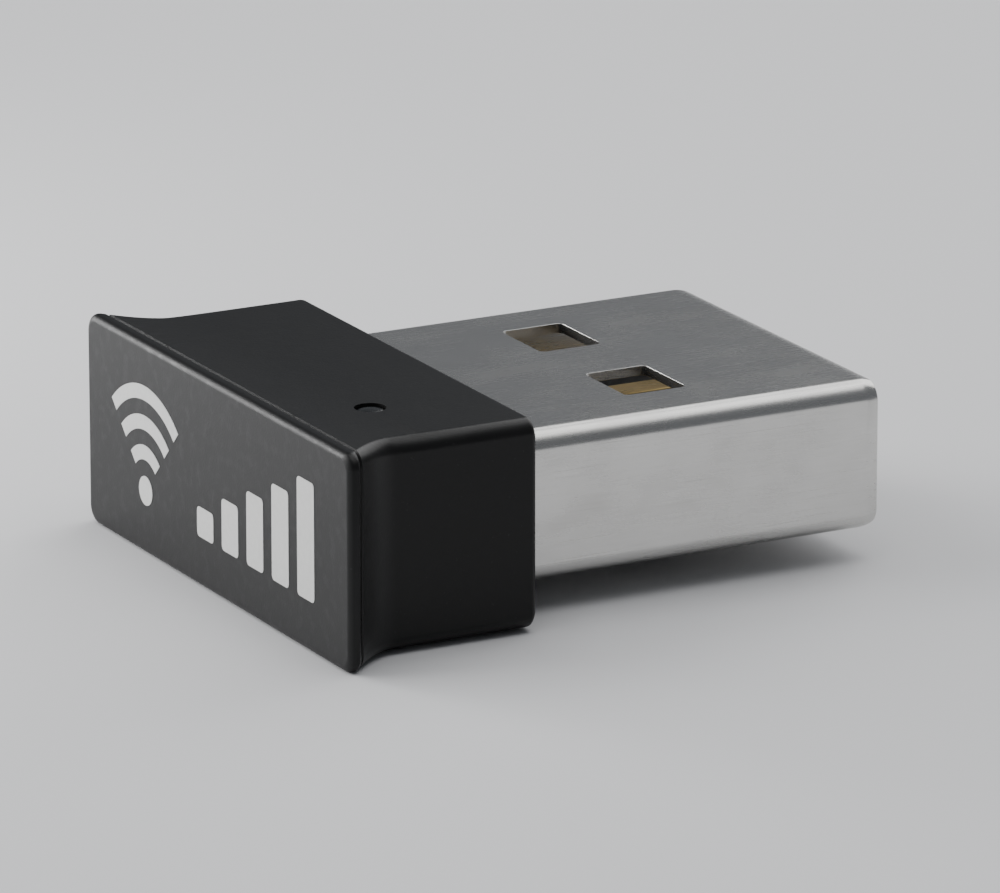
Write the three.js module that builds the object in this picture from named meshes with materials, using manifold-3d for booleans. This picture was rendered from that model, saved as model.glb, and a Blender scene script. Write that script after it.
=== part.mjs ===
// A nano USB wireless adapter: a flared plastic grip, closed by an end cap, on a USB 2.0 Standard-A plug that holds
// the circuit board. Millimetres. +X across the grip, +Y from the end face towards the plug's tip, +Z up.
// The origin is the centre of the grip's outer end face, on the plug's axis.
import * as THREE from "three";
import { mergeVertices } from "three/addons/utils/BufferGeometryUtils.js";
import Module from "manifold-3d";

const wasm = await Module();
wasm.setup();

// The plug, to the USB 2.0 Standard-A sizes
const PLUG = { width: 12.0, height: 4.5, sheet: 0.3, corner: 0.65, reach: 11.95, seam: 0.08 };
const WINDOW = { width: 2.5, length: 2.0, spacing: 5.12, fromTip: 6.16 };
const STOP = { x: 3, width: 1.8, length: 1.2, height: 0.2 }; // lanced from the shell, inside the grip
const BLOCK = { recess: 0.3, cavityDepth: 8.9, wall: 0.75, railWidth: 0.6, sideGap: 0.05, baseGap: 0.02 };
const CONTACT = { width: 1.0, thickness: 0.25, centres: [-3.5, -1, 1, 3.5], outerRecess: 1.3, innerRecess: 2.3 };

// The grip, its end cap and its light pipe
const GRIP = {
  depth: 6.5,
  lipWidth: 17.0,
  waistWidth: 14.8,
  lipHeight: 6.4,
  waistHeight: 6.2,
  corner: 0.5,
  frontRound: 0.22,
  rearRound: 0.2,
  flareStart: 0.3,
  sideFlareEnd: 2.0,
  sideFlarePower: 1.6,
  topFlareEnd: 3.0,
  topFlarePower: 2,
};
const CAP = { flange: 0.45, floor: 0.8, spigotEnd: 1.45, spigotWall: 0.6, spigotCorner: 0.3 };
const SOCKET = { halfWidth: 6.6, halfHeight: 2.5, corner: 0.6 }; // the shell's mouth, which takes the cap's spigot
const CAVITY = { halfWidth: 6.1, halfHeight: 2.5, corner: 0.5, rearWall: 1.0 };
const LIGHT = { x: 4.1, y: 2.9, radius: 0.42, clearance: 0.04, sunk: 0.04, flangeRadius: 0.7, flangeHeight: 0.35 };

// The circuit board and what is soldered to it
const BOARD = { thickness: 0.8, top: -0.22, front: 1.55, width: 11.0, wingWidth: 11.8, wingEnd: 4.05 };
const CHIP = { x: -1.15, y: 5.5, length: 6.5, width: 4.5, height: 0.85, padPitch: 0.4, padWidth: 0.2, dimple: 0.25 };
const CRYSTAL = { x: 3.85, y: 6.4, sizeX: 3.2, sizeY: 2.5, base: 0.45, height: 0.7, lidInset: 0.15 };
const LED = { length: 1.6, width: 0.8, base: 0.25, height: 0.55, terminal: 0.25 };
const SIZE_0402 = { length: 1.0, width: 0.5, height: 0.5 };
const SIZE_0603 = { length: 1.6, width: 0.8, height: 0.6 };
const SIZE_0805 = { length: 2.0, width: 1.25, height: 0.9 };
const ANTENNA_SIZE = { length: 3.2, width: 1.2, height: 1.1 };
const TERMINAL = { share: 0.22, proud: 0.02 }; // a chip part's end terminal: share of its length, and how proud it is

const GAP = 0.03; // between pieces that are pushed together
const PAST = 1; // how far a cutting tool runs past what it cuts
const JOIN = 0.1; // how far a joined lump reaches into its neighbour

const tip = GRIP.depth + PLUG.reach;
const plugRear = BOARD.wingEnd + 0.15;
const inner = { halfWidth: PLUG.width / 2 - PLUG.sheet, halfHeight: PLUG.height / 2 - PLUG.sheet };
const boardBottom = BOARD.top - BOARD.thickness;
const blockWallFront = tip - BLOCK.cavityDepth;
const blockRear = blockWallFront - BLOCK.wall;
const boardRear = blockRear - 0.1;
const ledTop = BOARD.top + LED.height;

// Materials
function finish(color, roughness, metalness = 0, extra = {}) {
  return new THREE.MeshStandardMaterial({ color, roughness, metalness, ...extra });
}
const MATERIAL = {
  grip: finish(0x111113, 0.35),
  endCap: finish(0x3c3c3e, 0.45),
  steel: finish(0xc9c8c4, 0.25, 1),
  insulator: finish(0x141415, 0.5),
  gold: finish(0xd9a441, 0.3, 1),
  board: finish(0x0e3b24, 0.4),
  chip: finish(0x1b1b1c, 0.6),
  can: finish(0xb8b8b4, 0.3, 1),
  ceramic: finish(0xd8d6cf, 0.5),
  capacitor: finish(0x8c6a4a, 0.5),
  resistor: finish(0x17181a, 0.4),
  ferrite: finish(0x3b3a39, 0.6),
  lens: finish(0x24282b, 0.15, 0, { transparent: true, opacity: 0.8 }),
  ledResin: finish(0xe6e9dc, 0.25),
};

// Geometry helpers
function range(from, to, count) {
  return Array.from({ length: count }, (_, i) => from + ((to - from) * i) / (count - 1));
}

const inOrder = (a, b) => (a < b ? [a, b] : [b, a]);

function roundedRect(halfWidth, halfHeight, radius) {
  const x = halfWidth - radius;
  const y = halfHeight - radius;
  return new THREE.Shape()
    .absarc(x, -y, radius, -Math.PI / 2, 0)
    .absarc(x, y, radius, 0, Math.PI / 2)
    .absarc(-x, y, radius, Math.PI / 2, Math.PI)
    .absarc(-x, -y, radius, Math.PI, Math.PI * 1.5)
    .closePath();
}

// A prism of a shape drawn in X and Z, standing from y0 to y1.
function prismAlongY(shape, y0, y1, curveSegments = 6) {
  const geometry = new THREE.ExtrudeGeometry(shape, { depth: y1 - y0, bevelEnabled: false, curveSegments });
  return geometry.rotateX(Math.PI / 2).translate(0, y1, 0);
}

function block(x0, x1, y0, y1, z0, z1) {
  const geometry = new THREE.BoxGeometry(x1 - x0, y1 - y0, z1 - z0);
  return geometry.translate((x0 + x1) / 2, (y0 + y1) / 2, (z0 + z1) / 2);
}

function post(x, y, z0, z1, radius, segments = 24) {
  const geometry = new THREE.CylinderGeometry(radius, radius, z1 - z0, segments);
  return geometry.rotateX(Math.PI / 2).translate(x, y, (z0 + z1) / 2);
}

// A closed skin through rounded rectangles, each { y, halfWidth, halfHeight, corner }.
function loft(sections, cornerSegments = 7) {
  const rings = sections.map(({ y, halfWidth, halfHeight, corner }) => {
    const ring = [];
    for (const [sideX, sideZ, start] of [[1, -1, -0.5], [1, 1, 0], [-1, 1, 0.5], [-1, -1, 1]]) {
      for (let i = 0; i <= cornerSegments; i++) {
        const angle = (start + (0.5 * i) / cornerSegments) * Math.PI;
        const x = sideX * (halfWidth - corner) + corner * Math.cos(angle);
        const z = sideZ * (halfHeight - corner) + corner * Math.sin(angle);
        ring.push([x, y, z]);
      }
    }
    return ring;
  });
  const count = rings[0].length;
  const index = [];
  for (let s = 0; s + 1 < rings.length; s++) {
    for (let i = 0; i < count; i++) {
      const a = s * count + i;
      const b = s * count + ((i + 1) % count);
      index.push(a, a + count, b, b, a + count, b + count);
    }
  }
  const last = (rings.length - 1) * count;
  for (let i = 1; i + 1 < count; i++) index.push(0, i, i + 1, last, last + i + 1, last + i);
  const geometry = new THREE.BufferGeometry();
  geometry.setAttribute("position", new THREE.Float32BufferAttribute(rings.flat(2), 3));
  return geometry.setIndex(index);
}

function solid(geometry) {
  const bare = geometry.clone();
  bare.deleteAttribute("normal");
  bare.deleteAttribute("uv");
  const merged = mergeVertices(bare, 1e-4);
  return new wasm.Manifold(
    new wasm.Mesh({
      numProp: 3,
      vertProperties: merged.attributes.position.array,
      triVerts: new Uint32Array(merged.index.array),
    }),
  );
}

function geometryOf(manifold) {
  const mesh = manifold.getMesh();
  const geometry = new THREE.BufferGeometry();
  geometry.setAttribute("position", new THREE.BufferAttribute(mesh.vertProperties, 3));
  geometry.setIndex(new THREE.BufferAttribute(mesh.triVerts, 1));
  geometry.computeVertexNormals();
  return geometry;
}

const join = (...geometries) => geometries.map(solid).reduce((whole, lump) => whole.add(lump));
const cut = (whole, ...geometries) => geometries.map(solid).reduce((left, tool) => left.subtract(tool), whole);

const adapter = new THREE.Group();
function piece(name, shape, material) {
  const geometry = shape.isBufferGeometry ? shape : geometryOf(shape);
  const mesh = new THREE.Mesh(geometry, material);
  mesh.name = name;
  adapter.add(mesh);
}

// The grip's outline at a distance y from the end face: rounded at the front edge, flared like a trumpet behind it
// so that fingernails can catch it, straight along the waist, and rounded again at the shoulder.
function gripSection(y) {
  const fade = (end, power) =>
    Math.pow(1 - THREE.MathUtils.clamp((y - GRIP.flareStart) / (end - GRIP.flareStart), 0, 1), power);
  const rounding = (depth, radius) => radius - Math.sqrt(radius ** 2 - THREE.MathUtils.clamp(depth, 0, radius) ** 2);
  const front = rounding(GRIP.frontRound - y, GRIP.frontRound);
  const rear = rounding(y - (GRIP.depth - GRIP.rearRound), GRIP.rearRound);
  const flareX = ((GRIP.lipWidth - GRIP.waistWidth) / 2) * fade(GRIP.sideFlareEnd, GRIP.sideFlarePower);
  const flareZ = ((GRIP.lipHeight - GRIP.waistHeight) / 2) * fade(GRIP.topFlareEnd, GRIP.topFlarePower);
  return {
    y,
    halfWidth: GRIP.waistWidth / 2 + flareX - front - rear,
    halfHeight: GRIP.waistHeight / 2 + flareZ - front - rear,
    corner: GRIP.corner - front / 2,
  };
}

// Distances from the end face that put even steps round the front edge's rounding.
function frontStations(steps) {
  return range(0, Math.PI / 2, steps + 1).map((angle) => GRIP.frontRound * (1 - Math.cos(angle)));
}

// End cap: a flange with the whole outline of the grip's end, and a spigot that is pushed into the shell's mouth.
function endCap() {
  const flange = loft([...frontStations(4), GRIP.flareStart, CAP.flange].map(gripSection));
  const halfWidth = SOCKET.halfWidth - GAP;
  const halfHeight = SOCKET.halfHeight - GAP;
  const outline = roundedRect(halfWidth, halfHeight, SOCKET.corner - GAP);
  const hollow = roundedRect(halfWidth - CAP.spigotWall, halfHeight - CAP.spigotWall, CAP.spigotCorner);
  const spigot = prismAlongY(outline, CAP.flange - JOIN, CAP.spigotEnd);
  return cut(join(flange, spigot), prismAlongY(hollow, CAP.floor, CAP.spigotEnd + PAST));
}

// Grip shell: a cup, open at the flared end, with the hole for the plug in its rear wall.
function gripShell() {
  const front = CAP.flange + GAP;
  const cavityEnd = GRIP.depth - CAVITY.rearWall;
  const stations = [
    ...range(front, GRIP.sideFlareEnd, 9),
    (GRIP.sideFlareEnd + GRIP.topFlareEnd) / 2,
    GRIP.topFlareEnd,
    ...range(GRIP.depth - GRIP.rearRound, GRIP.depth, 5),
  ];
  const mouth = roundedRect(SOCKET.halfWidth, SOCKET.halfHeight, SOCKET.corner);
  const cavity = roundedRect(CAVITY.halfWidth, CAVITY.halfHeight, CAVITY.corner);
  const plugHole = roundedRect(PLUG.width / 2 + GAP, PLUG.height / 2 + GAP, PLUG.corner + GAP);
  return cut(
    solid(loft(stations.map(gripSection))),
    prismAlongY(mouth, front - PAST, CAP.spigotEnd + GAP),
    prismAlongY(cavity, front, cavityEnd),
    prismAlongY(plugHole, cavityEnd - PAST, GRIP.depth + PAST),
    post(LIGHT.x, LIGHT.y, 0, GRIP.lipHeight, LIGHT.radius + LIGHT.clearance),
  );
}

// Light pipe: a clear pin that brings the status light to the top of the grip, held by a flange inside.
function lightPipe() {
  const top = gripSection(LIGHT.y).halfHeight - LIGHT.sunk;
  const ceiling = CAVITY.halfHeight - GAP;
  return join(
    post(LIGHT.x, LIGHT.y, ledTop + 0.15, top, LIGHT.radius),
    post(LIGHT.x, LIGHT.y, ceiling - LIGHT.flangeHeight, ceiling, LIGHT.flangeRadius),
  );
}

// Plug shell: sheet steel folded into a tube, with its seam under it, two windows above and two below for the
// socket's springs, and lanced stops that bear on the grip's rear wall from inside.
function plugShell() {
  const outside = roundedRect(PLUG.width / 2, PLUG.height / 2, PLUG.corner);
  const inside = roundedRect(inner.halfWidth, inner.halfHeight, PLUG.corner - PLUG.sheet);
  const windowY = tip - WINDOW.fromTip;
  const windows = [-1, 1].map((side) =>
    block(
      (side * WINDOW.spacing - WINDOW.width) / 2,
      (side * WINDOW.spacing + WINDOW.width) / 2,
      windowY - WINDOW.length / 2,
      windowY + WINDOW.length / 2,
      -PLUG.height,
      PLUG.height,
    ),
  );
  const seam = block(-PLUG.seam / 2, PLUG.seam / 2, plugRear - PAST, tip + PAST, -PLUG.height, 0);
  const tube = cut(
    solid(prismAlongY(outside, plugRear, tip)),
    prismAlongY(inside, plugRear - PAST, tip + PAST),
    seam,
    ...windows,
  );
  const stopFront = GRIP.depth - CAVITY.rearWall - GAP;
  const stops = [-1, 1].flatMap((side) =>
    [-STOP.x, STOP.x].map((x) => {
      const face = (side * PLUG.height) / 2;
      const [low, high] = inOrder(face - side * JOIN, face + side * STOP.height);
      return block(x - STOP.width / 2, x + STOP.width / 2, stopFront - STOP.length, stopFront, low, high);
    }),
  );
  return stops.reduce((whole, stop) => whole.add(solid(stop)), tube);
}

// Contact block: the plug's moulded tongue. Behind its rear wall two rails carry the board's edges.
function contactBlock() {
  const halfWidth = inner.halfWidth - BLOCK.sideGap;
  const halfHeight = inner.halfHeight - BLOCK.baseGap;
  const front = tip - BLOCK.recess;
  const leadIn = 0.45;
  const lowerChamfer = 0.2;
  const side = new THREE.Shape(); // drawn in Y and Z
  side.moveTo(blockRear, -halfHeight);
  side.lineTo(front - lowerChamfer, -halfHeight);
  side.lineTo(front, lowerChamfer - halfHeight);
  side.lineTo(front, -leadIn);
  side.lineTo(front - leadIn, 0);
  side.lineTo(blockWallFront, 0);
  side.lineTo(blockWallFront, halfHeight);
  side.lineTo(blockRear, halfHeight);
  side.closePath();
  const axes = [new THREE.Vector3(0, 1, 0), new THREE.Vector3(0, 0, 1), new THREE.Vector3(1, 0, 0)];
  const body = new THREE.ExtrudeGeometry(side, { depth: 2 * halfWidth, bevelEnabled: false })
    .applyMatrix4(new THREE.Matrix4().makeBasis(...axes))
    .translate(-halfWidth, 0, 0);
  const rails = [-1, 1].map((way) => {
    const [x0, x1] = inOrder(halfWidth * way, (halfWidth - BLOCK.railWidth) * way);
    return block(x0, x1, plugRear + 0.2, blockRear + JOIN, -halfHeight, boardBottom - GAP);
  });
  const shellInside = prismAlongY(roundedRect(halfWidth, halfHeight, PLUG.corner - PLUG.sheet), plugRear, tip);
  const grooves = CONTACT.centres.map((x, pin) => {
    const halfGroove = CONTACT.width / 2 + GAP;
    return block(x - halfGroove, x + halfGroove, blockRear - PAST, contactFront(pin) + GAP, BOARD.top, 0.08);
  });
  return cut(join(body, ...rails).intersect(solid(shellInside)), ...grooves);
}

// Contact strips: the two outer ones, for power, reach 1 mm further forward than the two for data.
function contactFront(pin) {
  const outer = pin === 0 || pin === CONTACT.centres.length - 1;
  return tip - (outer ? CONTACT.outerRecess : CONTACT.innerRecess);
}

function contactStrip(pin) {
  const x = CONTACT.centres[pin];
  const underside = BOARD.top + 0.01;
  const soldered = 0.75; // the length of the tail that lies on the board
  return block(
    x - CONTACT.width / 2,
    x + CONTACT.width / 2,
    boardRear - soldered,
    contactFront(pin),
    underside,
    underside + CONTACT.thickness,
  );
}

// Circuit board: T-shaped. Its wings stop against the plug shell's rear edge.
function circuitBoard() {
  const half = BOARD.width / 2;
  const wing = BOARD.wingWidth / 2;
  const outline = new THREE.Shape();
  outline.moveTo(-wing, BOARD.front);
  outline.lineTo(wing, BOARD.front);
  outline.lineTo(wing, BOARD.wingEnd);
  outline.lineTo(half, BOARD.wingEnd);
  outline.lineTo(half, boardRear);
  outline.lineTo(-half, boardRear);
  outline.lineTo(-half, BOARD.wingEnd);
  outline.lineTo(-wing, BOARD.wingEnd);
  outline.closePath();
  const geometry = new THREE.ExtrudeGeometry(outline, { depth: BOARD.thickness, bevelEnabled: false });
  return geometry.translate(0, 0, boardBottom);
}

// A block on the board, between two heights above its surface. side is 1 on top of the board and -1 under it.
function boardBlock(x, y, sizeX, sizeY, from, to, side = 1) {
  const face = side > 0 ? BOARD.top : boardBottom;
  const heights = inOrder(face + side * from, face + side * to);
  return block(x - sizeX / 2, x + sizeX / 2, y - sizeY / 2, y + sizeY / 2, ...heights);
}

// A chip part: a body between two end terminals that wrap it and stand a little proud of it.
function chipPart({ x, y, length, width, height, along = "x", side = 1 }) {
  const terminal = length * TERMINAL.share;
  const shape = (offset, l, w, from, to) =>
    along === "x"
      ? boardBlock(x + offset, y, l, w, from, to, side)
      : boardBlock(x, y + offset, w, l, from, to, side);
  const { proud } = TERMINAL;
  return join(
    shape(0, length - 2 * proud, width - 2 * proud, proud, height - proud),
    shape(-(length - terminal) / 2, terminal, width, 0, height),
    shape((length - terminal) / 2, terminal, width, 0, height),
  );
}

// Wireless chip: a leadless package with pads along its four lower edges and a pin-one dimple on top.
function wirelessChip() {
  const lead = 0.04; // how far the pads stand out of the moulding
  const padHeight = 0.2;
  const cornerSpace = 0.45;
  const { x, y, length, width, height } = CHIP;
  const lumps = [boardBlock(x, y, length - 2 * lead, width - 2 * lead, lead / 2, height)];
  const padOffsets = (span) => {
    const count = Math.floor((span - 2 * cornerSpace) / CHIP.padPitch) + 1;
    const reach = ((count - 1) * CHIP.padPitch) / 2;
    return range(-reach, reach, count);
  };
  for (const dx of padOffsets(length)) lumps.push(boardBlock(x + dx, y, CHIP.padWidth, width, 0, padHeight));
  for (const dy of padOffsets(width)) lumps.push(boardBlock(x, y + dy, length, CHIP.padWidth, 0, padHeight));
  const top = BOARD.top + height;
  const dimple = post(x - length / 2 + 0.7, y - width / 2 + 0.7, top - 0.04, top + PAST, CHIP.dimple, 16);
  return cut(join(...lumps), dimple);
}

// Crystal: a ceramic base under a seam-welded metal lid.
function crystal() {
  const { x, y, sizeX, sizeY, base, height, lidInset } = CRYSTAL;
  return join(
    boardBlock(x, y, sizeX, sizeY, 0, base),
    boardBlock(x, y, sizeX - 2 * lidInset, sizeY - 2 * lidInset, base - JOIN, height),
  );
}

// Status light: a base with two terminals and a moulded resin block on it.
function statusLight() {
  const { length, width, base, height, terminal } = LED;
  return join(
    boardBlock(LIGHT.x, LIGHT.y, length, width, 0, base),
    boardBlock(LIGHT.x, LIGHT.y, length - 2 * terminal, width - 2 * TERMINAL.proud, base - JOIN, height),
  );
}

const { ceramic, capacitor, resistor, ferrite } = MATERIAL;
const CHIP_PARTS = [
  { name: "chip_antenna", x: -3.0, y: 2.35, ...ANTENNA_SIZE, material: ceramic },
  { name: "power_inductor", x: 3.8, y: 4.2, ...SIZE_0805, material: ferrite },
  { name: "antenna_inductor", x: -0.6, y: 2.3, ...SIZE_0402, along: "y", material: ceramic },
  { name: "antenna_capacitor", x: 0.4, y: 2.5, ...SIZE_0402, material: capacitor },
  { name: "led_resistor", x: 2.4, y: 2.3, ...SIZE_0402, along: "y", material: resistor },
  { name: "capacitor_1", x: -5.0, y: 4.75, ...SIZE_0402, along: "y", material: capacitor },
  { name: "capacitor_2", x: -5.0, y: 6.05, ...SIZE_0402, along: "y", material: capacitor },
  { name: "capacitor_3", x: -5.0, y: 7.35, ...SIZE_0402, along: "y", material: capacitor },
  { name: "capacitor_4", x: 2.6, y: 4.6, ...SIZE_0603, side: -1, material: capacitor },
  { name: "capacitor_5", x: 2.6, y: 6.0, ...SIZE_0603, side: -1, material: capacitor },
  { name: "capacitor_6", x: -2.4, y: 4.6, ...SIZE_0402, side: -1, material: capacitor },
  { name: "reference_resistor", x: -2.4, y: 5.6, ...SIZE_0402, side: -1, material: resistor },
  { name: "data_resistor_1", x: -1.0, y: 7.6, ...SIZE_0402, along: "y", side: -1, material: resistor },
  { name: "data_resistor_2", x: 1.0, y: 7.6, ...SIZE_0402, along: "y", side: -1, material: resistor },
  { name: "ferrite_bead", x: -3.5, y: 7.4, ...SIZE_0603, along: "y", side: -1, material: ferrite },
];
const CONTACT_NAMES = ["contact_power", "contact_data_minus", "contact_data_plus", "contact_ground"];

piece("end_cap", endCap(), MATERIAL.endCap);
piece("grip_shell", gripShell(), MATERIAL.grip);
piece("light_pipe", lightPipe(), MATERIAL.lens);
piece("plug_shell", plugShell(), MATERIAL.steel);
piece("contact_block", contactBlock(), MATERIAL.insulator);
CONTACT_NAMES.forEach((name, pin) => piece(name, contactStrip(pin), MATERIAL.gold));
piece("circuit_board", circuitBoard(), MATERIAL.board);
piece("wifi_chip", wirelessChip(), MATERIAL.chip);
piece("crystal", crystal(), MATERIAL.can);
piece("status_led", statusLight(), MATERIAL.ledResin);
for (const { name, material, ...place } of CHIP_PARTS) piece(name, chipPart(place), material);

export default adapter;
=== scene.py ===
"""The looks of a nano USB wireless adapter: a flared grip on a Standard-A plug that holds its board."""
import math

import bmesh
import bpy
from mathutils import Matrix, Vector


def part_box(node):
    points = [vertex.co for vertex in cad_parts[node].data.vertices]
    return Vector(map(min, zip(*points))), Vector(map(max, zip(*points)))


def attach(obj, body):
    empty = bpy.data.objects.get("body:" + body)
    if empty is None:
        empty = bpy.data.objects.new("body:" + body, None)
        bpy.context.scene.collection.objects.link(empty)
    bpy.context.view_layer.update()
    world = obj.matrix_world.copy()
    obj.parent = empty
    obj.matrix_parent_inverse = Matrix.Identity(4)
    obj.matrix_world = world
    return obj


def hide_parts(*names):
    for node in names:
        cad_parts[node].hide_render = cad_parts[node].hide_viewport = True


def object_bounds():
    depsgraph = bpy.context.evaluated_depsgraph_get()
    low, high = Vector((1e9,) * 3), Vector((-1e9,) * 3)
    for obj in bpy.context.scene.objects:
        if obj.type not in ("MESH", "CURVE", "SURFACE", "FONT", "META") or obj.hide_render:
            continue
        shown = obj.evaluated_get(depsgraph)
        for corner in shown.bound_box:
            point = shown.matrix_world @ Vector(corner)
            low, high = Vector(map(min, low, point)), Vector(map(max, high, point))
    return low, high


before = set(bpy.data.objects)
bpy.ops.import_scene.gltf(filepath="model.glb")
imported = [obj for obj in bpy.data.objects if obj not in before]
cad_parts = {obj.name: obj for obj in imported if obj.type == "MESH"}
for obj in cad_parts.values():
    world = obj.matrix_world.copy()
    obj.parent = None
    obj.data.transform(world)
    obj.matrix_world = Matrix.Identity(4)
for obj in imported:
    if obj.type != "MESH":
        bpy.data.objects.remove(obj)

cad_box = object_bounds()

# ---- Grip shell --------------------------------------------------------------------------------------
# Black ABS, injection moulded as a cup that is open at its flared end, with the plug's hole in its rear
# wall. Its tool is finely spark eroded, so the skin has a grain, and fingers have polished the lip.

MM = 0.001
LIP_HALF_WIDTH = 8.5
LIP_HALF_HEIGHT = 3.2
WAIST_HALF_WIDTH = 7.4
WAIST_HALF_HEIGHT = 3.1
GRIP_CORNER = 0.5
FRONT_ROUND = 0.22
REAR_ROUND = 0.2
FLARE_START = 0.3
SIDE_FLARE_END = 2.0
SIDE_FLARE_POWER = 1.6
TOP_FLARE_END = 3.0
TOP_FLARE_POWER = 2
GRIP_FRONT = 0.48
GRIP_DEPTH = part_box("grip_shell")[1].y / MM
MOUTH_END = GRIP_FRONT + 1.0
CAVITY_END = GRIP_DEPTH - 1.0
MOUTH = (6.6, 2.5, 0.6)  # half width, half height and corner radius, like every section across the adapter
CAVITY = (6.1, 2.5, 0.5)
PLUG_HOLE = (6.03, 2.28, 0.68)
PLUG_HOLE_RIM = (6.06, 2.31, 0.7)
PLUG_HOLE_RIM_DEPTH = 0.05
PARTING_CHAMFER = 0.05  # on each side of the parting line between the grip and its cap
SLOPE = 0.01  # how far a flat face between two rings slopes, so that a skin knows which way it runs
LIGHT_X = 4.1
LIGHT_Y = 2.9
LIGHT_HOLE_RADIUS = 0.46
QUARTER = 8  # the segments in a quarter of a ring
SHARP = math.radians(35)  # edges that turn by more than this stay crisp
BLACK_TONE = 0.007
BLACK_ROUGHNESS = 0.36


def steps(low, high, count):
    """Evenly spaced values from low to high, both included."""
    return [low + (high - low) * i / (count - 1) for i in range(count)]


def ring(bm, y, half_width, half_height, corner):
    """A rounded rectangle across the adapter: a circle whose four quarters are moved apart. Its edges."""
    turn = Matrix.Rotation(math.pi / 2, 4, "X") @ Matrix.Rotation(math.pi / 4 / QUARTER, 4, "Z")
    at = Matrix.Translation((0, y, 0)) @ turn
    verts = bmesh.ops.create_circle(bm, segments=4 * QUARTER, radius=corner, matrix=at)["verts"]
    for vert in verts:
        vert.co.x += math.copysign(half_width - corner, vert.co.x)
        vert.co.z += math.copysign(half_height - corner, vert.co.z)
    return list({edge for vert in verts for edge in vert.link_edges})


def skin(bm, sections, closed=False):
    """A skin bridged through rings, closed back to the first one or by a flat face at each end."""
    rings = [ring(bm, *section) for section in sections]
    for one, other in zip(rings, rings[1:] + (rings[:1] if closed else [])):
        bmesh.ops.bridge_loops(bm, edges=one + other)
    if not closed:
        for end in (rings[0], rings[-1]):
            bmesh.ops.edgenet_fill(bm, edges=end)
    bmesh.ops.recalc_face_normals(bm, faces=bm.faces)


def grip_outline(y):
    """The grip's half width, half height and corner radius at a distance y from the end face."""
    def fade(end, power):
        return (1 - min(max((y - FLARE_START) / (end - FLARE_START), 0), 1)) ** power

    def rounding(depth, radius):
        return radius - math.sqrt(radius**2 - min(max(depth, 0), radius) ** 2)

    front = rounding(FRONT_ROUND - y, FRONT_ROUND)
    rear = rounding(y - GRIP_DEPTH + REAR_ROUND, REAR_ROUND)
    side_flare = (LIP_HALF_WIDTH - WAIST_HALF_WIDTH) * fade(SIDE_FLARE_END, SIDE_FLARE_POWER)
    top_flare = (LIP_HALF_HEIGHT - WAIST_HALF_HEIGHT) * fade(TOP_FLARE_END, TOP_FLARE_POWER)
    half_width = WAIST_HALF_WIDTH + side_flare - front - rear
    half_height = WAIST_HALF_HEIGHT + top_flare - front - rear
    return half_width, half_height, GRIP_CORNER - front / 2


def parting_outline(y):
    """The grip's outline at the parting line, drawn in by the chamfer."""
    half_width, half_height, corner = grip_outline(y)
    return half_width - PARTING_CHAMFER, half_height - PARTING_CHAMFER, corner


def post(x, y, low, high, radius):
    """A round post along Z."""
    bm = bmesh.new()
    at = Matrix.Translation((x, y, (low + high) / 2))
    bmesh.ops.create_cone(
        bm, segments=64, radius1=radius, radius2=radius, depth=high - low, cap_ends=True, matrix=at
    )
    return bm


def loose_object(name, bm):
    """An object made from a mesh under construction, which is used up."""
    mesh = bpy.data.meshes.new(name)
    bm.to_mesh(mesh)
    bm.free()
    made = bpy.data.objects.new(name, mesh)
    bpy.context.scene.collection.objects.link(made)
    return made


def carved(bm, tools, operation="DIFFERENCE"):
    """A solid after tools have been cut out of it or joined to it. The solid and the tools are used up."""
    work = loose_object("work", bm)
    helpers = [loose_object("tool", tool) for tool in tools]
    for helper in helpers:
        modifier = work.modifiers.new("cut", "BOOLEAN")
        modifier.operation = operation
        modifier.solver = "EXACT"
        modifier.object = helper
    bpy.context.view_layer.update()
    result = bmesh.new()
    result.from_mesh(work.evaluated_get(bpy.context.evaluated_depsgraph_get()).data)
    for each in [work, *helpers]:
        mesh = each.data
        bpy.data.objects.remove(each)
        bpy.data.meshes.remove(mesh)
    return result


def piece(name, bm, material, replaces=(), edge=0.0):
    """A finished piece, from a mesh in millimetres: its edges eased, riding on the adapter's one body."""
    bmesh.ops.scale(bm, vec=(MM, MM, MM), verts=bm.verts)
    made = loose_object(name, bm)
    made.data.shade_smooth()
    made.data.set_sharp_from_angle(angle=SHARP)
    made.data.materials.append(material)
    if edge:
        ease = made.modifiers.new("eased edges", "BEVEL")
        ease.width = edge * MM
        ease.segments = 2
        ease.limit_method = "ANGLE"
        ease.angle_limit = SHARP
        ease.harden_normals = True
    even = made.modifiers.new("even shading", "WEIGHTED_NORMAL")
    even.keep_sharp = True
    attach(made, "root")
    if replaces:
        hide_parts(*replaces)


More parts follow.
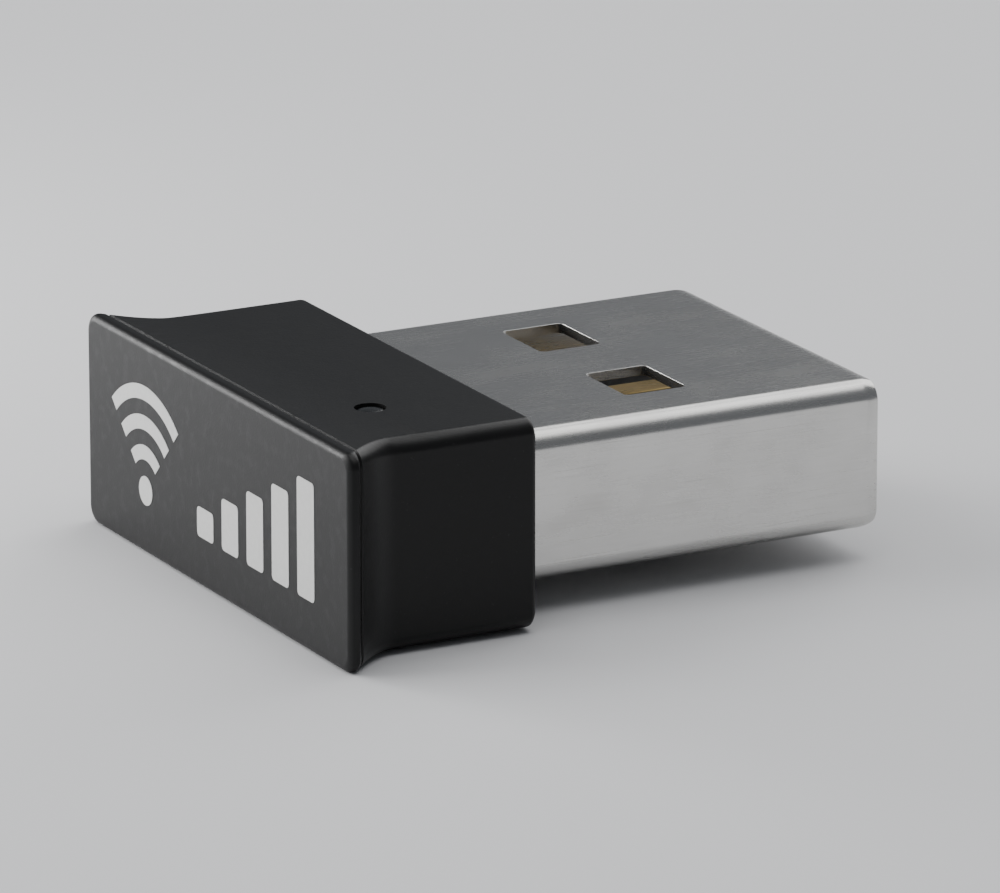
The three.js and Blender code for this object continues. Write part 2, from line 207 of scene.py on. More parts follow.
class Wire:
    """A socket in a material's node tree. Arithmetic on wires adds Math nodes."""

    def __init__(self, tree, socket=None):
        self.tree = tree
        self.socket = socket

    def node(self, kind, settings=(), inputs=(), output=0):
        """A new node: its settings first, then the values or wires of its inputs. One output, as a wire."""
        made = self.tree.nodes.new("ShaderNode" + kind)
        for name, value in dict(settings).items():
            setattr(made, name, value)
        for name, value in dict(inputs).items():
            if isinstance(value, Wire):
                self.tree.links.new(value.socket, made.inputs[name])
            else:
                made.inputs[name].default_value = value
        return Wire(self.tree, made.outputs[output])

    def maths(self, operation, *values):
        """A Math node on wires and numbers."""
        return self.node("Math", {"operation": operation}, enumerate(values))

    def __add__(self, other):
        return self.maths("ADD", self, other)

    __radd__ = __add__

    def __sub__(self, other):
        return self.maths("SUBTRACT", self, other)

    def __rsub__(self, other):
        return self.maths("SUBTRACT", other, self)

    def __mul__(self, other):
        return self.maths("MULTIPLY", self, other)

    __rmul__ = __mul__

    def __abs__(self):
        return self.maths("ABSOLUTE", self)

    def __gt__(self, other):
        return self.maths("GREATER_THAN", self, other)

    def __lt__(self, other):
        return self.maths("LESS_THAN", self, other)

    def ramp(self, low, high):
        """0 below low, 1 above high and smooth between them."""
        limits = {"Value": self, "From Min": low, "From Max": high}
        return self.node("MapRange", {"interpolation_type": "SMOOTHSTEP"}, limits)

    def mix(self, one, other):
        """A colour between two, by this wire."""
        return self.node("Mix", {"data_type": "RGBA"}, {0: self, 6: one, 7: other}, output=2)


class Finish:
    """A material of one Principled shader. Its patterns lie on the piece's own place, in millimetres."""

    def __init__(self, name, **constants):
        self.material = bpy.data.materials.new(name)
        self.material.use_nodes = True
        self.tree = self.material.node_tree
        self.shader = self.tree.nodes["Principled BSDF"]
        for socket, value in constants.items():
            self.shader.inputs[socket.replace("_", " ")].default_value = value
        self.start = Wire(self.tree)
        place = self.start.node("TexCoord", output=3)
        self.place = self.start.node("VectorMath", {"operation": "SCALE"}, {0: place, "Scale": 1 / MM})

    def axis(self, letter):
        """The place along one axis, in millimetres."""
        return self.start.node("SeparateXYZ", (), {0: self.place}, output="XYZ".index(letter))

    def noise(self, scale, detail=2.0, stretch=(1, 1, 1)):
        """Noise from 0 to 1, with scale features to a millimetre, along axes that can be stretched."""
        where = self.start.node("VectorMath", {"operation": "MULTIPLY"}, {0: self.place, 1: stretch})
        return self.start.node("TexNoise", (), {"Vector": where, "Scale": scale, "Detail": detail})

    def set(self, **wires):
        """Wires to the shader's sockets, by their names."""
        for socket, wire in wires.items():
            self.tree.links.new(wire.socket, self.shader.inputs[socket.replace("_", " ")])

    def bump(self, height, depth):
        """Raises the surface by height times depth millimetres."""
        self.set(Normal=self.start.node("Bump", (), {"Distance": depth * MM, "Height": height}))


def moulded_black(name, rubbed_from, rubbed_to, face_tone_and_painted_light=BLACK_TONE, face_roughness=BLACK_ROUGHNESS):
    """Black moulded plastic: an eroded grain, a faint mottle, fine dust, and polish where fingers rub it.

    Its end face may be eroded more, which leaves it duller than the polished rim round it. It may also be
    given a paler tone: painted light on the face, with the darker rim round it as painted shade.
    """
    finish = Finish(name, IOR=1.49, Specular_IOR_Level=0.25)
    mottle = finish.noise(1.3, 4)
    fine = finish.noise(14, 2)
    dust = finish.noise(9, 1).ramp(0.72, 0.78)
    rub = finish.noise(2.5, 5, (1, 0.3, 1)).ramp(0.45, 0.75)
    y = finish.axis("Y")
    face = 1 - y.ramp(0.05, 0.14)
    rubbed = (1 - y.ramp(rubbed_from, rubbed_to)) * rub
    roughness = BLACK_ROUGHNESS + face * (face_roughness - BLACK_ROUGHNESS)

    def tone(share):
        """A share of the plastic's tone, which may be a paler one on the end face: painted light there,
        with painted shade on the darker rim.
        """
        rim, end = BLACK_TONE * share, face_tone_and_painted_light * share
        return face.mix((rim, rim, rim, 1), (end, end, end, 1))

    finish.set(
        Base_Color=(dust * 0.35).mix(mottle.mix(tone(0.85), tone(1.15)), tone(4)),
        Roughness=roughness + 0.08 * (mottle - 0.5) - 0.10 * rubbed + 0.12 * dust,
    )
    finish.bump(fine + mottle * 1.5, 0.0035)
    return finish.material


bm = bmesh.new()
outside = steps(GRIP_FRONT + PARTING_CHAMFER, TOP_FLARE_END, 26)
outside += [GRIP_DEPTH - REAR_ROUND + REAR_ROUND * math.sin(a) for a in steps(0, math.pi / 2, 6)]
grip_sections = [
    (GRIP_FRONT + SLOPE, *MOUTH),
    (GRIP_FRONT, *parting_outline(GRIP_FRONT)),
    *[(y, *grip_outline(y)) for y in outside],
    (GRIP_DEPTH - SLOPE, *PLUG_HOLE_RIM),
    (GRIP_DEPTH - PLUG_HOLE_RIM_DEPTH, *PLUG_HOLE),
    (CAVITY_END, *PLUG_HOLE),
    (CAVITY_END - SLOPE, *CAVITY),
    (MOUTH_END, *CAVITY),
    (MOUTH_END - SLOPE, MOUTH[0], MOUTH[1] + SLOPE, MOUTH[2]),
]
skin(bm, grip_sections, closed=True)
bm = carved(bm, [post(LIGHT_X, LIGHT_Y, 0, LIP_HALF_HEIGHT, LIGHT_HOLE_RADIUS)])
GRIP_BLACK = moulded_black("grip black", rubbed_from=0.5, rubbed_to=1.6)
piece("grip_moulding", bm, GRIP_BLACK, ["grip_shell"])

# ---- End cap -----------------------------------------------------------------------------------------
# A flange with the whole outline of the grip's end and a spigot that snaps into the grip's mouth.
# Moulded in the same black: its rim is polished, and its end face is eroded to a duller satin for the mark.

CAP_REAR = 0.45
CAP_FLOOR = 0.8
SPIGOT_END = 1.45
SPIGOT_LEAD = 0.1
SPIGOT = (6.57, 2.47, 0.57)
SPIGOT_HOLLOW = (5.97, 1.87, 0.3)
# The end face's paler grey is painted light, and the rim's black band behind it is painted shade.
FACE_TONE_AND_PAINTED_LIGHT = 0.020
FACE_ROUGHNESS = 0.46

bm = bmesh.new()
flange = [FRONT_ROUND * (1 - math.cos(a)) for a in steps(0, math.pi / 2, 8)]
flange += steps(FLARE_START, CAP_REAR - PARTING_CHAMFER, 3)
cap_sections = [
    *[(y, *grip_outline(y)) for y in flange],
    (CAP_REAR, *parting_outline(CAP_REAR)),
    (CAP_REAR + SLOPE, *SPIGOT),
    (SPIGOT_END - SPIGOT_LEAD, *SPIGOT),
    (SPIGOT_END, SPIGOT[0] - SPIGOT_LEAD, SPIGOT[1] - SPIGOT_LEAD, SPIGOT[2]),
    (SPIGOT_END - SLOPE, *SPIGOT_HOLLOW),
    (CAP_FLOOR, *SPIGOT_HOLLOW),
]
skin(bm, cap_sections)
CAP_GREY = moulded_black("end cap grey", 0.05, 0.3, FACE_TONE_AND_PAINTED_LIGHT, FACE_ROUGHNESS)
piece("end_cap_moulding", bm, CAP_GREY, ["end_cap"])

# ---- Printed mark ------------------------------------------------------------------------------------
# White ink, about a hundredth of a millimetre thick, put on the end face with a soft printing pad:
# radio waves over a dot, and level bars that rise beside them.

INK_THICKNESS = 0.012
INK_CORNER = 0.14
WAVES_X = -4.55
WAVES_Z = -1.25
WAVE_RADII = (1.15, 2.05, 2.95)
WAVE_BAND = 0.44
WAVE_SPREAD = math.radians(88)
DOT_RADIUS = 0.44
BARS_LEFT = -1.15
BARS_FOOT = -1.67
BAR_WIDTH = 1.05
BAR_PITCH = 1.6
BAR_HEIGHTS = steps(0.9, 3.5, 5)


def verts_of(made):
    """The vertices among what an operator made."""
    return [each for each in made["geom"] if isinstance(each, bmesh.types.BMVert)]


bm = bmesh.new()
centre = (WAVES_X, 0, WAVES_Z)
start = Matrix.Rotation(-WAVE_SPREAD / 2, 3, "Y")
sweep = {"cent": centre, "axis": (0, 1, 0), "angle": WAVE_SPREAD, "steps": 24}
for radius in WAVE_RADII:
    band = [bm.verts.new((WAVES_X, 0, WAVES_Z + radius + side * WAVE_BAND / 2)) for side in (-1, 1)]
    across = bm.edges.new(band)
    bmesh.ops.rotate(bm, cent=centre, matrix=start, verts=band)
    bmesh.ops.spin(bm, geom=[*band, across], use_merge=False, **sweep)
at = Matrix.Translation(centre) @ Matrix.Rotation(math.pi / 2, 4, "X")
bmesh.ops.create_circle(bm, cap_ends=True, segments=40, radius=DOT_RADIUS, matrix=at)
for number, height in enumerate(BAR_HEIGHTS):
    left = BARS_LEFT + number * BAR_PITCH
    right = left + BAR_WIDTH
    top = BARS_FOOT + height
    outline = ((left, BARS_FOOT), (right, BARS_FOOT), (right, top), (left, top))
    corners = [bm.verts.new((x, 0, z)) for x, z in outline]
    bm.faces.new(corners)
    bmesh.ops.bevel(
        bm, geom=corners, offset=INK_CORNER, segments=4, profile=0.5, affect="VERTICES", material=-1
    )
bmesh.ops.recalc_face_normals(bm, faces=bm.faces)
raised = bmesh.ops.extrude_face_region(bm, geom=bm.faces[:])
bmesh.ops.translate(bm, vec=(0, -INK_THICKNESS, 0), verts=verts_of(raised))
bmesh.ops.recalc_face_normals(bm, faces=bm.faces)

ink = Finish("white ink", Specular_IOR_Level=0.4)
cover = ink.noise(5, 4)
ink.set(
    Base_Color=cover.mix((0.72, 0.72, 0.70, 1), (0.84, 0.84, 0.82, 1)),
    Roughness=0.42 + 0.15 * cover,
)
ink.bump(ink.noise(20, 2), 0.002)
piece("printed_mark", bm, ink.material)

# ---- Light pipe --------------------------------------------------------------------------------------
# Smoked clear acrylic, moulded as one small round pin, with a flange that is trapped inside the grip.
# Its top is slightly domed and lies just under the grip's skin.

PIPE_RADIUS = 0.42
PIPE_SUNK = 0.03
PIPE_TOP = grip_outline(LIGHT_Y)[1] - PIPE_SUNK
PIPE_DOME = 0.09
PIPE_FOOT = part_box("light_pipe")[0].z / MM
PIPE_CHAMFER = 0.05
FLANGE_RADIUS = 0.7
FLANGE_TOP = 2.47
FLANGE_FOOT = 2.12
FLANGE_CHAMFER = 0.04

bm = bmesh.new()
turned = [
    *[
        (PIPE_RADIUS * math.sin(a), PIPE_TOP - PIPE_DOME * (1 - math.cos(a)))
        for a in steps(0, math.pi / 2, 9)
    ],
    (PIPE_RADIUS, FLANGE_TOP),
    (FLANGE_RADIUS - FLANGE_CHAMFER, FLANGE_TOP),
    (FLANGE_RADIUS, FLANGE_TOP - FLANGE_CHAMFER),
    (FLANGE_RADIUS, FLANGE_FOOT),
    (PIPE_RADIUS, FLANGE_FOOT),
    (PIPE_RADIUS, PIPE_FOOT + PIPE_CHAMFER),
    (PIPE_RADIUS - PIPE_CHAMFER, PIPE_FOOT),
    (0, PIPE_FOOT),
]
profile = [bm.verts.new((LIGHT_X + radius, LIGHT_Y, z)) for radius, z in turned]
sides = [bm.edges.new(pair) for pair in zip(profile, profile[1:])]
axle = {"cent": (LIGHT_X, LIGHT_Y, 0), "axis": (0, 0, 1)}
bmesh.ops.spin(bm, geom=profile + sides, angle=2 * math.pi, steps=48, use_merge=True, **axle)
bmesh.ops.remove_doubles(bm, verts=bm.verts, dist=1e-4)
bmesh.ops.recalc_face_normals(bm, faces=bm.faces)

smoked = Finish("smoked acrylic", IOR=1.49, Specular_IOR_Level=0.5, Transmission_Weight=0.35)
haze = smoked.noise(4, 3)
smoked.set(
    Base_Color=haze.mix((0.010, 0.011, 0.012, 1), (0.016, 0.018, 0.020, 1)),
    Roughness=0.16 + 0.10 * haze,
)
smoked.bump(smoked.noise(7, 2), 0.0015)
piece("light_lens", bm, smoked.material, ["light_pipe"])

# ---- Plug shell --------------------------------------------------------------------------------------
# Steel strip 0.3 mm thick, punched, folded round and locked by a dovetail in the seam under the plug, then
# nickel plated. The roll's grain runs along it, and the socket's springs have drawn fine scratches the same
# way. Stops raised from the strip bear on the grip's rear wall from inside.

PLUG_REAR, PLUG_TIP = [corner.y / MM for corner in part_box("plug_shell")]
PLUG_HALF_WIDTH = 6.0
PLUG_HALF_HEIGHT = 2.25
SHEET = 0.3
FOLD_RADIUS = 0.65
LEAD_IN = 0.45
LEAD_DEPTH = 0.09
WINDOW_WIDTH = 2.5
WINDOW_LENGTH = 2.0
WINDOW_CORNER = 0.18
WINDOW_X = 2.56
WINDOW_Y = PLUG_TIP - 6.16
SEAM_GAP = 0.08
TAIL_Y = 15.45
TAIL_LENGTH = 0.8
TAIL_HALF_ROOT = 0.7
TAIL_HALF_END = 0.95
STOP_X = 3
STOP_HALF_WIDTH = 0.9
STOP_LENGTH = 1.2
STOP_HEIGHT = 0.2
STOP_EDGE = 0.04
PUSH_GAP = 0.03  # between pieces that are pushed together
JOIN = 0.1  # how far a joined lump reaches into its neighbour
PAST = 1  # how far a cutting tool runs past what it cuts


def tube_section(y, drop, wall):
    """The folded tube's section, drawn in by drop, on its outer side or a wall's thickness inside it."""
    inward = drop + wall
    return y, PLUG_HALF_WIDTH - inward, PLUG_HALF_HEIGHT - inward, FOLD_RADIUS - inward


def block(low, high, bevel=0.0):
    """A block between two corners, in millimetres, with its edges rounded by bevel."""
    bm = bmesh.new()
    size = Vector(high) - Vector(low)
    middle = (Vector(high) + Vector(low)) / 2
    bmesh.ops.create_cube(bm, size=1, matrix=Matrix.Translation(middle) @ Matrix.Diagonal((*size, 1)))
    if bevel:
        bmesh.ops.bevel(
            bm, geom=bm.edges, offset=bevel, segments=3, profile=0.5, affect="EDGES", material=-1
        )
    return bm


bm = bmesh.new()
lead = [(PLUG_TIP - LEAD_IN * (1 - t), LEAD_DEPTH * t**2) for t in steps(0, 1, 6)]
tube = [
    tube_section(PLUG_REAR + SLOPE, 0, SHEET),
    tube_section(PLUG_REAR, 0, 0),
    *[tube_section(y, drop, 0) for y, drop in lead],
    *[tube_section(y - SLOPE, drop, SHEET) for y, drop in reversed(lead)],
]
skin(bm, tube, closed=True)

windows = []
for x in (-WINDOW_X, WINDOW_X):
    window = block(
        (x - WINDOW_WIDTH / 2, WINDOW_Y - WINDOW_LENGTH / 2, -PLUG_HALF_HEIGHT - PAST),
        (x + WINDOW_WIDTH / 2, WINDOW_Y + WINDOW_LENGTH / 2, PLUG_HALF_HEIGHT + PAST),
    )
    upright = [edge for edge in window.edges if edge.calc_length() > 2 * PLUG_HALF_HEIGHT]
    bmesh.ops.bevel(
        window, geom=upright, offset=WINDOW_CORNER, segments=5, profile=0.5, affect="EDGES", material=-1
    )
    windows.append(window)

seam = bmesh.new()
route = [
    (0, PLUG_REAR - PAST),
    (0, TAIL_Y - TAIL_HALF_ROOT),
    (TAIL_LENGTH, TAIL_Y - TAIL_HALF_END),
    (TAIL_LENGTH, TAIL_Y + TAIL_HALF_END),
    (0, TAIL_Y + TAIL_HALF_ROOT),
    (0, PLUG_TIP + PAST),
]
turns = [seam.verts.new((x, y, -PLUG_HALF_HEIGHT - PAST)) for x, y in route]
lines = [seam.edges.new(pair) for pair in zip(turns, turns[1:])]
risen = bmesh.ops.extrude_edge_only(seam, edges=lines)
bmesh.ops.translate(seam, vec=(0, 0, PLUG_HALF_HEIGHT), verts=verts_of(risen))
bmesh.ops.recalc_face_normals(seam, faces=seam.faces)
bmesh.ops.solidify(seam, geom=seam.faces[:], thickness=SEAM_GAP)
bmesh.ops.recalc_face_normals(seam, faces=seam.faces)

stops = []
stop_front = CAVITY_END - PUSH_GAP
for x in (-STOP_X, STOP_X):
    for side in (1, -1):
        foot, top = sorted((side * (PLUG_HALF_HEIGHT - JOIN), side * (PLUG_HALF_HEIGHT + STOP_HEIGHT)))
        near = (x - STOP_HALF_WIDTH, stop_front - STOP_LENGTH, foot)
        far = (x + STOP_HALF_WIDTH, stop_front, top)
        stops.append(block(near, far, STOP_EDGE))

bm = carved(bm, [*windows, seam])
bm = carved(bm, stops, "UNION")

nickel = Finish("nickel plated steel", Metallic=1.0)
grain = nickel.noise(16, 3, (1, 0.05, 1))
drawn = nickel.noise(24, 2, (1, 0.012, 1)).ramp(0.60, 0.74)
cloud = nickel.noise(0.5, 4)
smudge = nickel.noise(0.6, 3, (1, 0.6, 1)).ramp(0.35, 0.85)
tarnish = cloud * 0.4 + smudge * 0.3 + grain * 0.3 + drawn * 0.2
nickel.set(
    Base_Color=tarnish.mix((0.72, 0.715, 0.70, 1), (0.50, 0.49, 0.47, 1)),
    Roughness=0.22 + 0.06 * grain + 0.05 * smudge + 0.05 * drawn,
)
nickel.bump(grain * 0.5 - drawn * 0.25 + nickel.noise(0.7, 2) * 3, 0.0011)
piece("plug_sheet", bm, nickel.material, ["plug_shell"], edge=0.03)

# ---- Contact block -----------------------------------------------------------------------------------
# Black glass-filled nylon, moulded: the plug's tongue, with four grooves for the contacts, a wall behind it
# that closes the shell, and two rails that carry the board's edges. Pushed into the shell from behind.

TONGUE_HALF_WIDTH = PLUG_HALF_WIDTH - SHEET - 0.05
TONGUE_HALF_HEIGHT = PLUG_HALF_HEIGHT - SHEET - 0.02
TONGUE_TIP = PLUG_TIP - 0.3
TONGUE_NOSE = 0.45
TONGUE_CHAMFER = 0.2
WALL_FRONT = PLUG_TIP - 8.9
WALL_REAR = WALL_FRONT - 0.75
WALL_CHAMFER = 0.12
RAIL_WIDTH = 0.6
RAIL_REAR = PLUG_REAR + 0.2
BOARD_UNDERSIDE = -1.02
GROOVE_FLOOR = -0.22
GROOVE_TOP = 0.08
CONTACTS = {
    "contact_power": -3.5,
    "contact_data_minus": -1.0,
    "contact_data_plus": 1.0,
    "contact_ground": 3.5,
}
CONTACT_HALF_WIDTH = 0.5

bm = bmesh.new()
side_view = [
    (WALL_REAR, -TONGUE_HALF_HEIGHT),
    (TONGUE_TIP - TONGUE_CHAMFER, -TONGUE_HALF_HEIGHT),
    (TONGUE_TIP, TONGUE_CHAMFER - TONGUE_HALF_HEIGHT),
    *[
        (TONGUE_TIP - TONGUE_NOSE * (1 - math.cos(a)), -TONGUE_NOSE * (1 - math.sin(a)))
        for a in steps(0, math.pi / 2, 7)
    ],
    (WALL_FRONT + WALL_CHAMFER, 0),
    (WALL_FRONT, WALL_CHAMFER),
    (WALL_FRONT, TONGUE_HALF_HEIGHT),
    (WALL_REAR, TONGUE_HALF_HEIGHT),
]
profile = bm.faces.new([bm.verts.new((-TONGUE_HALF_WIDTH, y, z)) for y, z in side_view])
widened = bmesh.ops.extrude_face_region(bm, geom=[profile])
bmesh.ops.translate(bm, vec=(2 * TONGUE_HALF_WIDTH, 0, 0), verts=verts_of(widened))
bmesh.ops.recalc_face_normals(bm, faces=bm.faces)

rails = [
    block(
        (left, RAIL_REAR, -TONGUE_HALF_HEIGHT),
        (left + RAIL_WIDTH, WALL_REAR + JOIN, BOARD_UNDERSIDE - PUSH_GAP),
    )
    for left in (TONGUE_HALF_WIDTH - RAIL_WIDTH, -TONGUE_HALF_WIDTH)
]
bore = bmesh.new()
skin(bore, [(y, TONGUE_HALF_WIDTH, TONGUE_HALF_HEIGHT, FOLD_RADIUS - SHEET) for y in (PLUG_REAR, PLUG_TIP)])
grooves = []
for name, x in CONTACTS.items():
    half_width = CONTACT_HALF_WIDTH + PUSH_GAP
    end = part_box(name)[1].y / MM + PUSH_GAP
    grooves.append(
        block((x - half_width, WALL_REAR - PAST, GROOVE_FLOOR), (x + half_width, end, GROOVE_TOP))
    )
bm = carved(bm, rails, "UNION")
bm = carved(bm, [bore], "INTERSECT")
bm = carved(bm, grooves)

nylon = Finish("black nylon", IOR=1.53, Specular_IOR_Level=0.45)
flow = nylon.noise(1.2, 4, (1, 0.25, 1))
fibre = nylon.noise(18, 3, (1, 0.3, 1))
nylon.set(
    Base_Color=flow.mix((0.010, 0.010, 0.0105, 1), (0.018, 0.018, 0.019, 1)),
    Roughness=0.36 + 0.14 * flow + 0.08 * fibre,
)
nylon.bump(fibre + flow, 0.003)
piece("tongue", bm, nylon.material, ["contact_block"], edge=0.025)

# ---- Contacts ----------------------------------------------------------------------------------------
# Phosphor bronze strip, gold over nickel. Each is pressed into its groove, has a rounded nose in the tongue
# and a tail on the board, and wears a dull track along its middle where the socket's spring rubs.

CONTACT_UNDERSIDE = -0.21
CONTACT_TOP = 0.04
CONTACT_NOSE = 0.2

for name, x in CONTACTS.items():
    rear, front = [corner.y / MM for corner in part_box(name)]
    near = (x - CONTACT_HALF_WIDTH, rear, CONTACT_UNDERSIDE)
    bm = block(near, (x + CONTACT_HALF_WIDTH, front, CONTACT_TOP))
    halfway = (rear + front) / 2
    nose = [edge for edge in bm.edges if all(v.co.y > halfway and v.co.z > 0 for v in edge.verts)]
    bmesh.ops.bevel(
        bm, geom=nose, offset=CONTACT_NOSE, segments=5, profile=0.5, affect="EDGES", material=-1
    )

    gold = Finish("gold plate " + name, Metallic=1.0)
    off_middle = abs(gold.axis("X") - x)
    scored = gold.noise(16, 2, (1, 0.04, 1))
    track = (1 - off_middle.ramp(0.12, 0.24)) * gold.axis("Y").ramp(front - 5.2, front - 4.4)
    worn = track * scored.ramp(0.2, 0.8)
    gold.set(
        Base_Color=(worn * 0.4).mix((0.95, 0.70, 0.30, 1), (0.86, 0.72, 0.48, 1)),
        Roughness=0.24 + 0.08 * scored + 0.10 * worn,
    )
    gold.bump(scored, 0.0015)
    piece(name + "_strip", bm, gold.material, [name], edge=0.04)

# ---- Circuit board -----------------------------------------------------------------------------------
# Glass laminate 0.8 mm thick, cut to a T. Green solder mask covers the copper tracks on both sides, the cut
# edges show the laminate, and gilded pads lie under the contacts' tails. Pushed into the block's rails.

PAD_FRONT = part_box("contact_power")[0].y / MM - 0.15
PAD_MARGIN = 0.08
MASK_THICKNESS = 0.035
GILT = (0.83, 0.58, 0.24, 1)


def dress(node, finish):
    """Gives a CAD node that keeps its shape its own material."""
    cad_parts[node].data.materials.clear()
    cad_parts[node].data.materials.append(finish.material)


board = Finish("solder mask", IOR=1.5, Specular_IOR_Level=0.5)
board_foot, board_top = [corner.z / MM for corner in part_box("circuit_board")]
x, y, z = [board.axis(letter) for letter in "XYZ"]
top_side = z > board_top - MASK_THICKNESS
cut_edge = (z < board_top - MASK_THICKNESS) * (z > board_foot + MASK_THICKNESS)
cells = board.start.node(
    "TexVoronoi",
    {"feature": "F1", "distance": "CHEBYCHEV"},
    {"Vector": board.place, "Scale": 1.7, "Randomness": 0.55},
)
track = (cells.ramp(0.16, 0.17) - cells.ramp(0.26, 0.27)) * (1 - cut_edge)
via = (1 - cells.ramp(0.07, 0.08)) * (1 - cut_edge)
pads = sum(abs(x - place) < CONTACT_HALF_WIDTH + PAD_MARGIN for place in CONTACTS.values())
gilded = board.start.maths("MAXIMUM", pads * (y > PAD_FRONT) * top_side, via)
weave = board.noise(6, 3, (1, 1, 3))
green = (track + 0.25 * weave).mix((0.006, 0.055, 0.022, 1), (0.014, 0.115, 0.045, 1))
laminate = weave.mix((0.42, 0.36, 0.17, 1), (0.56, 0.49, 0.27, 1))
board.set(
    Base_Color=gilded.mix(cut_edge.mix(green, laminate), GILT),
    Metallic=gilded,
    Roughness=0.30 + 0.35 * cut_edge + 0.08 * weave,
)
board.bump(track * 2 + weave * 0.5 - via * 2, 0.006)
dress("circuit_board", board)

# ---- Wireless chip -----------------------------------------------------------------------------------
# A leadless package moulded in black epoxy round its silicon, then sawn apart from its neighbours.
# Tinned copper pads stand a little proud of its lower edges, and are reflow soldered to the board.

PAD_PROUD = 0.04


def outer_band(finish, node, letter, depth):
    """1 within depth millimetres of either end of a CAD node along an axis, and 0 between the two bands."""
    low, high = [corner["XYZ".index(letter)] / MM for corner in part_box(node)]
    return abs(finish.axis(letter) - (low + high) / 2) > (high - low) / 2 - depth


chip = Finish("chip epoxy", IOR=1.5, Specular_IOR_Level=0.4)
proud = [outer_band(chip, "wifi_chip", letter, PAD_PROUD / 2) for letter in "XY"]
tinned = chip.start.maths("MAXIMUM", *proud)
sparkle = chip.noise(22, 3)
epoxy = sparkle.mix((0.012, 0.012, 0.013, 1), (0.028, 0.028, 0.030, 1))
chip.set(
    Base_Color=tinned.mix(epoxy, (0.62, 0.61, 0.59, 1)),
    Metallic=tinned,
    Roughness=0.55 + 0.15 * sparkle - 0.25 * tinned,
)
chip.bump(sparkle, 0.003)
dress("wifi_chip", chip)

# ---- Crystal -----------------------------------------------------------------------------------------
# A quartz blank sealed in a small dark ceramic tub by a nickel-iron lid, which is seam welded on.
# Its gilded corners underneath are soldered to the board.

LID_DEPTH = 0.25

can = Finish("crystal can")
lid = can.axis("Z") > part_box("crystal")[1].z / MM - LID_DEPTH
rolled = can.noise(14, 2, (1, 0.1, 1))
weld = can.noise(5, 3)
ceramic = weld.mix((0.05, 0.045, 0.04, 1), (0.09, 0.08, 0.07, 1))
can.set(
    Base_Color=lid.mix(ceramic, (0.60, 0.59, 0.56, 1)),
    Metallic=lid,
    Roughness=0.55 - 0.28 * lid + 0.10 * rolled,
)
can.bump(rolled + weld, 0.002)
dress("crystal", can)

# ---- Status light ------------------------------------------------------------------------------------
# A surface-mount LED: milky resin moulded over a white base, with a gilded terminal at each end.
# It is soldered to the board right under the light pipe.

LED_TERMINAL = 0.25

led = Finish("led resin", IOR=1.54, Specular_IOR_Level=0.5)
terminals = outer_band(led, "status_led", "X", LED_TERMINAL)
milky = led.noise(6, 3)
resin = milky.mix((0.66, 0.69, 0.55, 1), (0.80, 0.82, 0.70, 1))
led.set(
    Base_Color=terminals.mix(resin, GILT),
    Metallic=terminals,
    Roughness=0.22 + 0.15 * milky,
)
led.bump(milky, 0.003)
dress("status_led", led)

# ---- Small chip parts --------------------------------------------------------------------------------
# Capacitors, resistors, inductors and the chip antenna: fired bodies, dipped in tin at both ends and
# reflow soldered. Each kind has its own body colour, and each part differs a little in tone.

BROWN = (0.23, 0.135, 0.075)
BLACK = (0.018, 0.018, 0.020)
CREAM = (0.62, 0.60, 0.54)
IRON = (0.055, 0.053, 0.050)
TINNED_SHARE = 0.22
CHIP_PARTS = {
    "chip_antenna": CREAM,
    "antenna_inductor": CREAM,
    "power_inductor": IRON,
    "ferrite_bead": IRON,
    "antenna_capacitor": BROWN,
    **{f"capacitor_{number}": BROWN for number in range(1, 7)},
    "led_resistor": BLACK,
    "reference_resistor": BLACK,
    "data_resistor_1": BLACK,
    "data_resistor_2": BLACK,
}

for number, (node, colour) in enumerate(CHIP_PARTS.items()):
    part = Finish("fired body " + node)
    low, high = [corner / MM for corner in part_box(node)]
    letter = "X" if high.x - low.x > high.y - low.y else "Y"
    length = max(high.x - low.x, high.y - low.y)
    tin = outer_band(part, node, letter, length * TINNED_SHARE)
    speck = part.noise(10 + number % 3, 4)
    darker = [0.8 * shade for shade in colour]
    lighter = [min(1, (1.1 + 0.03 * (number % 5)) * shade) for shade in colour]
    part.set(
        Base_Color=tin.mix(speck.mix((*darker, 1), (*lighter, 1)), (0.64, 0.63, 0.61, 1)),
        Metallic=tin,
        Roughness=0.50 - 0.18 * tin + 0.14 * speck,
    )
    part.bump(speck, 0.004)
    dress(node, part)

# ---- Floor, lights and camera ------------------------------------------------------------------------
# A wide sheet of pale paper under the lip, a dim sky, three large softboxes and a small one low on the
# left, and a long lens that looks down on the end face from its right.

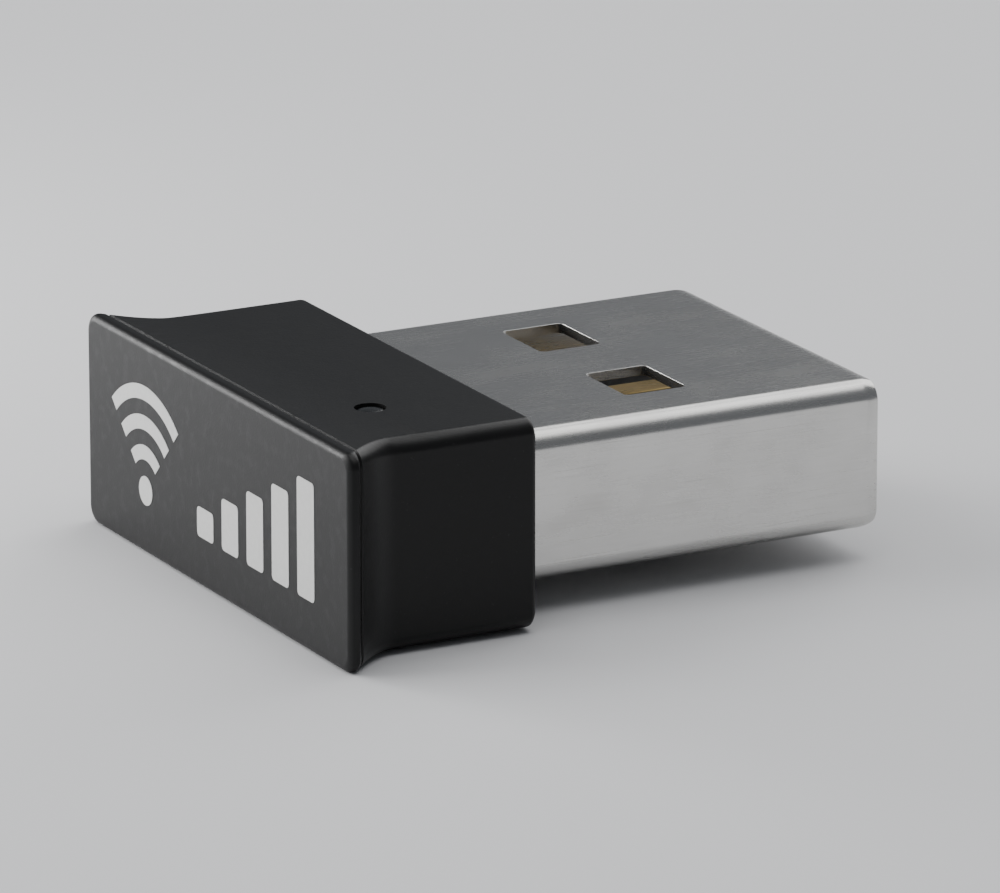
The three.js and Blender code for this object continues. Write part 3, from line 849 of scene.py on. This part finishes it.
CAMERA_AZIMUTH = math.radians(62.0)
CAMERA_ELEVATION = math.radians(16.5)
CAMERA_DISTANCE = 0.25
CAMERA_LENS = 310
FLOOR_HALF_SIZE = 2.0
SKY = (0.80, 0.84, 0.90, 1)
SKY_STRENGTH = 0.20

floor_bm = bmesh.new()
bmesh.ops.create_grid(floor_bm, x_segments=1, y_segments=1, size=FLOOR_HALF_SIZE)
bmesh.ops.translate(floor_bm, vec=(0, 0, cad_box[0].z), verts=floor_bm.verts)
floor = loose_object("floor", floor_bm)
paper = Finish("pale floor", Roughness=0.9)
paper.set(Base_Color=paper.noise(0.02, 2).mix((0.72, 0.72, 0.73, 1), (0.76, 0.76, 0.77, 1)))
floor.data.materials.append(paper.material)

world = bpy.data.worlds.new("studio")
bpy.context.scene.world = world
world.use_nodes = True
world.node_tree.nodes["Background"].inputs["Color"].default_value = SKY
world.node_tree.nodes["Background"].inputs["Strength"].default_value = SKY_STRENGTH
middle = (cad_box[0] + cad_box[1]) / 2


def softbox(name, place, size, power):
    """A rectangular lamp that faces the adapter."""
    lamp = bpy.data.lights.new(name, "AREA")
    lamp.shape = "RECTANGLE"
    lamp.size, lamp.size_y = size
    lamp.energy = power
    made = bpy.data.objects.new(name, lamp)
    made.location = place
    made.rotation_euler = (middle - Vector(place)).to_track_quat("-Z", "Y").to_euler()
    bpy.context.scene.collection.objects.link(made)


softbox("key", (-0.26, -0.30, 0.24), (0.40, 0.36), 1.5)
softbox("top", (0.02, 0.06, 0.46), (0.46, 0.46), 1.4)
softbox("back", (-0.16, 0.30, 0.22), (0.30, 0.30), 0.6)
softbox("low left", (-0.05, -0.024, 0.012), (0.024, 0.024), 0.02)

sideways = Vector((math.sin(CAMERA_AZIMUTH), -math.cos(CAMERA_AZIMUTH), 0))
back = sideways * math.cos(CAMERA_ELEVATION) + Vector((0, 0, math.sin(CAMERA_ELEVATION)))
lens = bpy.data.cameras.new("camera")
lens.lens = CAMERA_LENS
lens.clip_start = 0.01
camera = bpy.data.objects.new("camera", lens)
camera.location = middle + back * CAMERA_DISTANCE
camera.rotation_euler = (-back).to_track_quat("-Z", "Y").to_euler()
bpy.context.scene.collection.objects.link(camera)
bpy.context.scene.camera = camera
